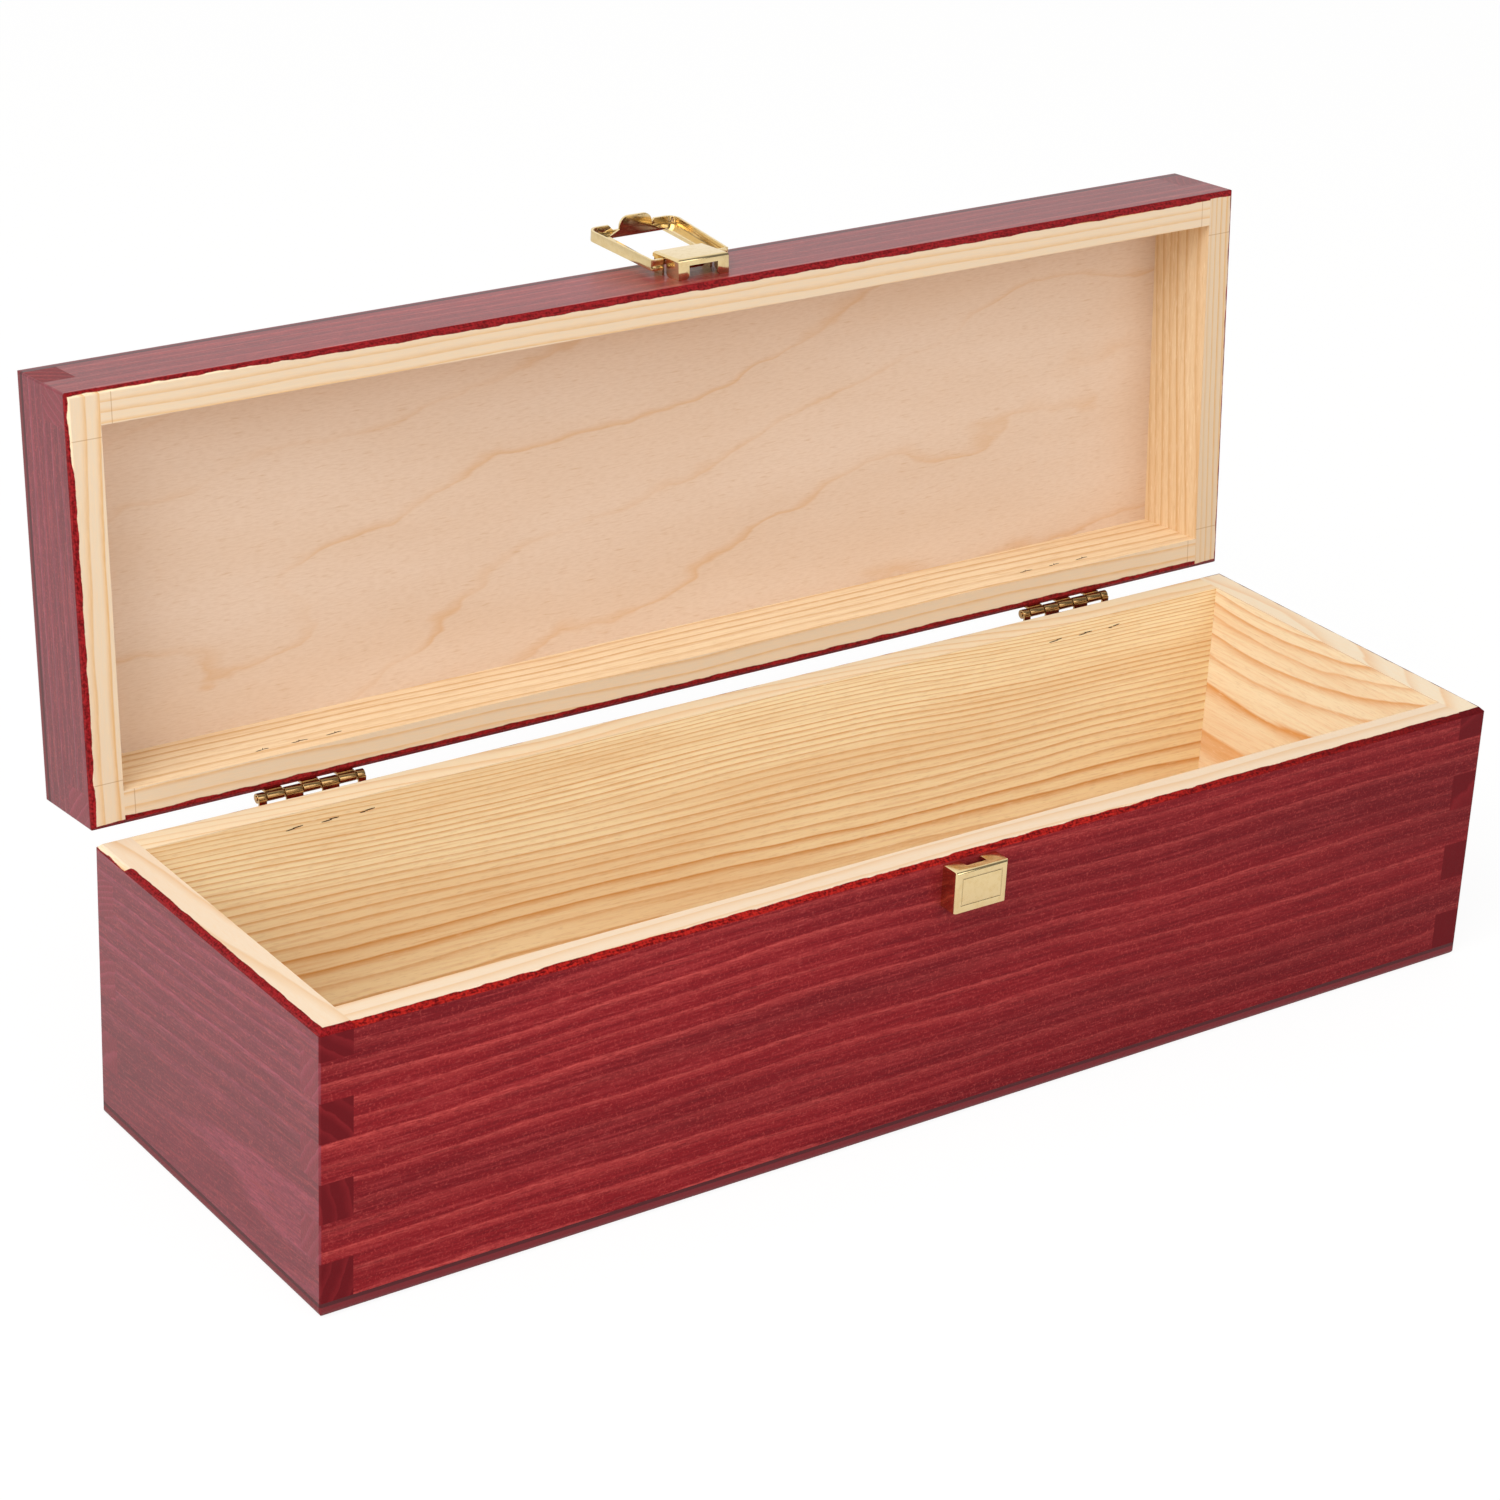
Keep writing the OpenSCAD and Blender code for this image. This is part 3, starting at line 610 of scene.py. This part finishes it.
def torn_wood_tree(material):
    """Geometry nodes: at every point a thin split along X, painted dark as the shade inside it, each of its
    own length and tilt.
    """
    tree = bpy.data.node_groups.new("torn wood", "GeometryNodeTree")
    tree.interface.new_socket("Geometry", in_out="INPUT", socket_type="NodeSocketGeometry")
    for size in ("Longest", "Deep", "Thick"):
        tree.interface.new_socket(size, in_out="INPUT", socket_type="NodeSocketFloat")
    tree.interface.new_socket("Seed", in_out="INPUT", socket_type="NodeSocketInt")
    tree.interface.new_socket("Geometry", in_out="OUTPUT", socket_type="NodeSocketGeometry")
    i = add(tree, "NodeGroupInput").outputs
    ball = add(tree, "GeometryNodeMeshIcoSphere", {"Radius": 0.5, "Subdivisions": 2})
    share = add(tree, "FunctionNodeRandomValue", {2: 0.35, 3: 1.0, "Seed": i["Seed"]}, data_type="FLOAT")
    length = add(tree, MATH, (share, i["Longest"]), operation="MULTIPLY")
    scale = add(tree, "ShaderNodeCombineXYZ", (length, i["Deep"], i["Thick"]))
    tilts = {0: (0, -0.12, 0), 1: (0, 0.12, 0), "Seed": i["Seed"]}
    tilt = add(tree, "FunctionNodeRandomValue", tilts, data_type="FLOAT_VECTOR")
    placing = {"Points": i["Geometry"], "Instance": ball, "Scale": scale, "Rotation": tilt}
    placed = add(tree, "GeometryNodeInstanceOnPoints", placing)
    real = add(tree, "GeometryNodeRealizeInstances", (placed,))
    dark = add(tree, "GeometryNodeSetMaterial", {"Geometry": real, "Material": material})
    add(tree, "NodeGroupOutput", {"Geometry": dark})
    return tree


def split_shade_material():
    """Painted shade inside a split: dark wood without gloss."""
    material, t = new_material("painted shade in pine split")
    here = add(t, "ShaderNodeTexCoord").outputs["Object"]
    grain = add(t, NOISE, {"Vector": here, "Scale": 3 / MM})
    # painted shade: the split is coloured as dark as the shadow inside a crack
    dark = add(t, MIX, {0: grain, 6: "#1C1008", 7: "#4A2E1A"}, data_type="RGBA")
    surface(t, {"Base Color": dark, "Roughness": 0.9, "Specular IOR Level": 0.1})
    return material


def nail_tips(nodes, inwards):
    """The point of each nail, which lies farther inwards than the rest of it."""
    places = [v.co for node in nodes for v in frame["nodes"][node].data.vertices]
    reach = max(place.dot(inwards) for place in places)
    tips = []
    for place in places:
        at_reach = reach - place.dot(inwards) < SAME_PLACE * MM
        if at_reach and all((place - tip).length > SAME_PLACE * MM for tip in tips):
            tips.append(place.copy())
    return tips


def make_splits(body, inwards, tree, seed):
    """Splits beside the points of one body's nails, flat on the inner face of its back wall."""
    name = body + "_nail_splits"
    nodes = [f"{side}_hinge_{body}_nails" for side in ("left", "right")]
    flat = INWARDS.rotation_difference(inwards).to_matrix().to_4x4()
    tips = [flat.inverted() @ (tip - NAIL_PROUD * MM * inwards) for tip in nail_tips(nodes, inwards)]
    places = [tip + Vector((x * MM, 0, z * MM)) for tip in tips for x, z in SPLIT_PLACES]
    mesh = bpy.data.meshes.new(name)
    mesh.from_pydata(places, [], [])
    points = bpy.data.objects.new(name, mesh)
    bpy.context.scene.collection.objects.link(points)
    modifier = points.modifiers.new("torn wood", "NODES")
    modifier.node_group = tree
    sizes = {"Longest": SPLIT_LONGEST * MM, "Deep": SPLIT_DEEP * MM, "Thick": SPLIT_THICK * MM}
    inputs = {"Seed": seed, **sizes}
    for item in tree.interface.items_tree:
        if item.name in inputs:
            modifier[item.identifier] = inputs[item.name]
    evaluated = points.evaluated_get(bpy.context.evaluated_depsgraph_get())
    made = bpy.data.meshes.new_from_object(evaluated)
    bpy.data.objects.remove(points)
    made.transform(flat)
    piece = bpy.data.objects.new(name, made)
    bpy.context.scene.collection.objects.link(piece)
    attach(piece, body)


TORN_WOOD = torn_wood_tree(split_shade_material())
make_splits("base", INWARDS, TORN_WOOD, 3)
make_splits("lid", INWARDS_ON_LID, TORN_WOOD, 8)

# ---- Camera, floor and light ----

# the camera was fitted to the photograph; the first three values are pixels of its frame
IMAGE_PX = 1500
FOCAL_PX = 4043.7
AXIS_PX = (794.5, 786.2)
SENSOR_MM = 36
CAMERA_PLACE = Vector((-0.5533, -0.7280, 0.5006))
CAMERA_AZIMUTH, CAMERA_ELEVATION, CAMERA_ROLL = (math.radians(v) for v in (36.71, 25.27, 3.07))

FLOOR_HALF = 6.0
FLOOR_WHITE = 1.03
FLOOR_CLEAN = 0.88  # the share of white that hides all but a trace of the shadow
ROOM_FRONT = Vector((0.35, -0.85, 0.4)).normalized()
ROOM_WHITE = 1.05
ROOM_DARK = 0.2
FILL = 0.68


def make_camera():
    data = bpy.data.cameras.new("camera")
    data.sensor_width = SENSOR_MM
    data.lens = data.sensor_width * FOCAL_PX / IMAGE_PX
    data.shift_x = (IMAGE_PX / 2 - AXIS_PX[0]) / IMAGE_PX
    data.shift_y = (AXIS_PX[1] - IMAGE_PX / 2) / IMAGE_PX
    data.clip_start = 0.05
    data.clip_end = 20
    camera = bpy.data.objects.new("camera", data)
    level = math.pi / 2 - CAMERA_ELEVATION
    turn = Matrix.Rotation(-CAMERA_AZIMUTH, 4, "Z") @ Matrix.Rotation(level, 4, "X")
    camera.matrix_world = Matrix.Translation(CAMERA_PLACE) @ turn @ Matrix.Rotation(CAMERA_ROLL, 4, "Z")
    bpy.context.scene.collection.objects.link(camera)
    bpy.context.scene.camera = camera


def make_floor():
    """A pale floor that the camera sees as white, with a trace of the box's soft shadow."""
    mesh = bpy.data.meshes.new("floor")
    corners = [(x * FLOOR_HALF, y * FLOOR_HALF, 0) for x, y in ((-1, -1), (1, -1), (1, 1), (-1, 1))]
    mesh.from_pydata(corners, [], [(0, 1, 2, 3)])
    floor = bpy.data.objects.new("floor", mesh)
    bpy.context.scene.collection.objects.link(floor)
    material, t = new_material("pale floor")
    rays = add(t, "ShaderNodeLightPath").outputs
    seen = add(t, MATH, (rays["Is Camera Ray"], FLOOR_CLEAN), operation="MULTIPLY")
    matt = add(t, "ShaderNodeBsdfDiffuse", {"Color": "#EEECEA"})
    white = add(t, "ShaderNodeEmission", {"Color": "#FFFFFF", "Strength": FLOOR_WHITE})
    mixed = add(t, "ShaderNodeMixShader", (seen, matt, white))
    add(t, "ShaderNodeOutputMaterial", {"Surface": mixed})
    mesh.materials.append(material)


def make_world():
    """White to the camera, a grey fill light, and in reflections a white room that is darker in front."""
    world = bpy.data.worlds.new("studio")
    bpy.context.scene.world = world
    world.use_nodes = True
    t = world.node_tree
    t.nodes.clear()
    rays = add(t, "ShaderNodeLightPath").outputs
    towards = add(t, "ShaderNodeTexCoord").outputs["Generated"]
    front = add(t, VECTOR_MATH, (towards, ROOM_FRONT), operation="DOT_PRODUCT")
    room = add(t, MAP_RANGE, (front, 0.35, 0.8, ROOM_WHITE, ROOM_DARK))
    mirrored = add(t, MATH, (rays["Is Glossy Ray"], rays["Is Transmission Ray"]), operation="MAXIMUM")
    lit = add(t, MIX, {0: mirrored, 2: FILL, 3: room})
    strength = add(t, MIX, {0: rays["Is Camera Ray"], 2: lit, 3: 1.0})
    back = add(t, "ShaderNodeBackground", {"Color": "#FFFFFF", "Strength": strength})
    add(t, "ShaderNodeOutputWorld", {"Surface": back})


def make_light(name, place, target, size, watts):
    """A square soft box at a place, facing a target, in metres."""
    data = bpy.data.lights.new(name, "AREA")
    data.shape = "SQUARE"
    data.size = size
    data.energy = watts
    light = bpy.data.objects.new(name, data)
    light.location = place
    light.rotation_mode = "QUATERNION"
    light.rotation_quaternion = (Vector(target) - Vector(place)).to_track_quat("-Z", "Y")
    bpy.context.scene.collection.objects.link(light)


make_camera()
make_floor()
make_world()
make_light("overhead soft box", (-1.25, -0.55, 1.35), (0, 0, 0.1), 1.3, 22.5)
make_light("front soft box", (0.5, -1.8, 0.9), (0, 0, 0.08), 1.2, 8)

bpy.context.scene.view_settings.view_transform = "Standard"
